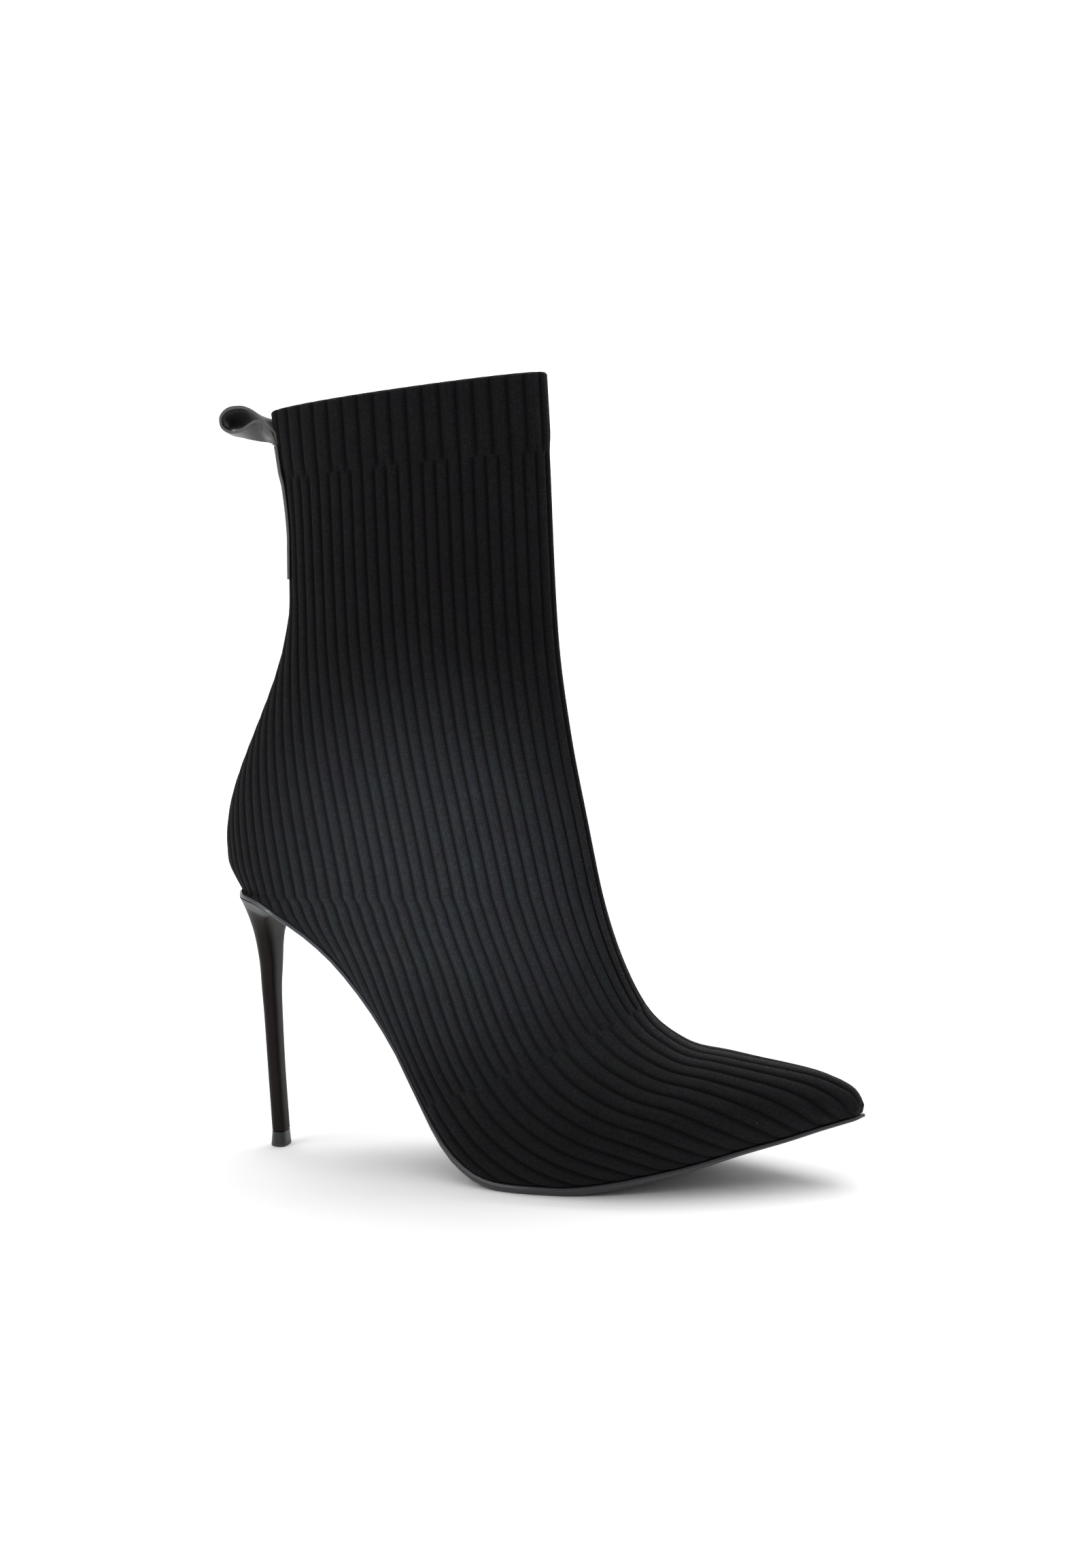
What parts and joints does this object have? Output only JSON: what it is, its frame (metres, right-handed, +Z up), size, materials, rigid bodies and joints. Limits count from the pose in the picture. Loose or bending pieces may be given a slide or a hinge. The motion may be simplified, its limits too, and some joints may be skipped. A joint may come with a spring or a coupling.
{
  "type": "sock boot",
  "caption": "Right ribbed knit sock boot with a pointed toe, stiletto heel and leather pull loop, standing empty on its sole.",
  "frame": {"origin": "middle of the footprint of the whole boot, on the floor", "axes": "+X from heel to toe, +Y to the inner side of the foot, +Z up"},
  "size_m": [0.2262, 0.0766, 0.271],
  "materials": {
    "knit": "matt black rib knit",
    "insole_board": "thin dark lining board",
    "sole_rubber": "smooth black with a glossy edge",
    "heel_cover": "glossy black",
    "tip_rubber": "black, worn at the floor",
    "strap_leather": "smooth black leather"
  },
  "bodies": {
    "root": {"upper": "knit", "insole": "insole_board", "sole": "sole_rubber", "heel": "heel_cover", "top_piece": "tip_rubber", "pull_loop": "strap_leather", "back_tape": "strap_leather"}
  },
  "joints": []
}
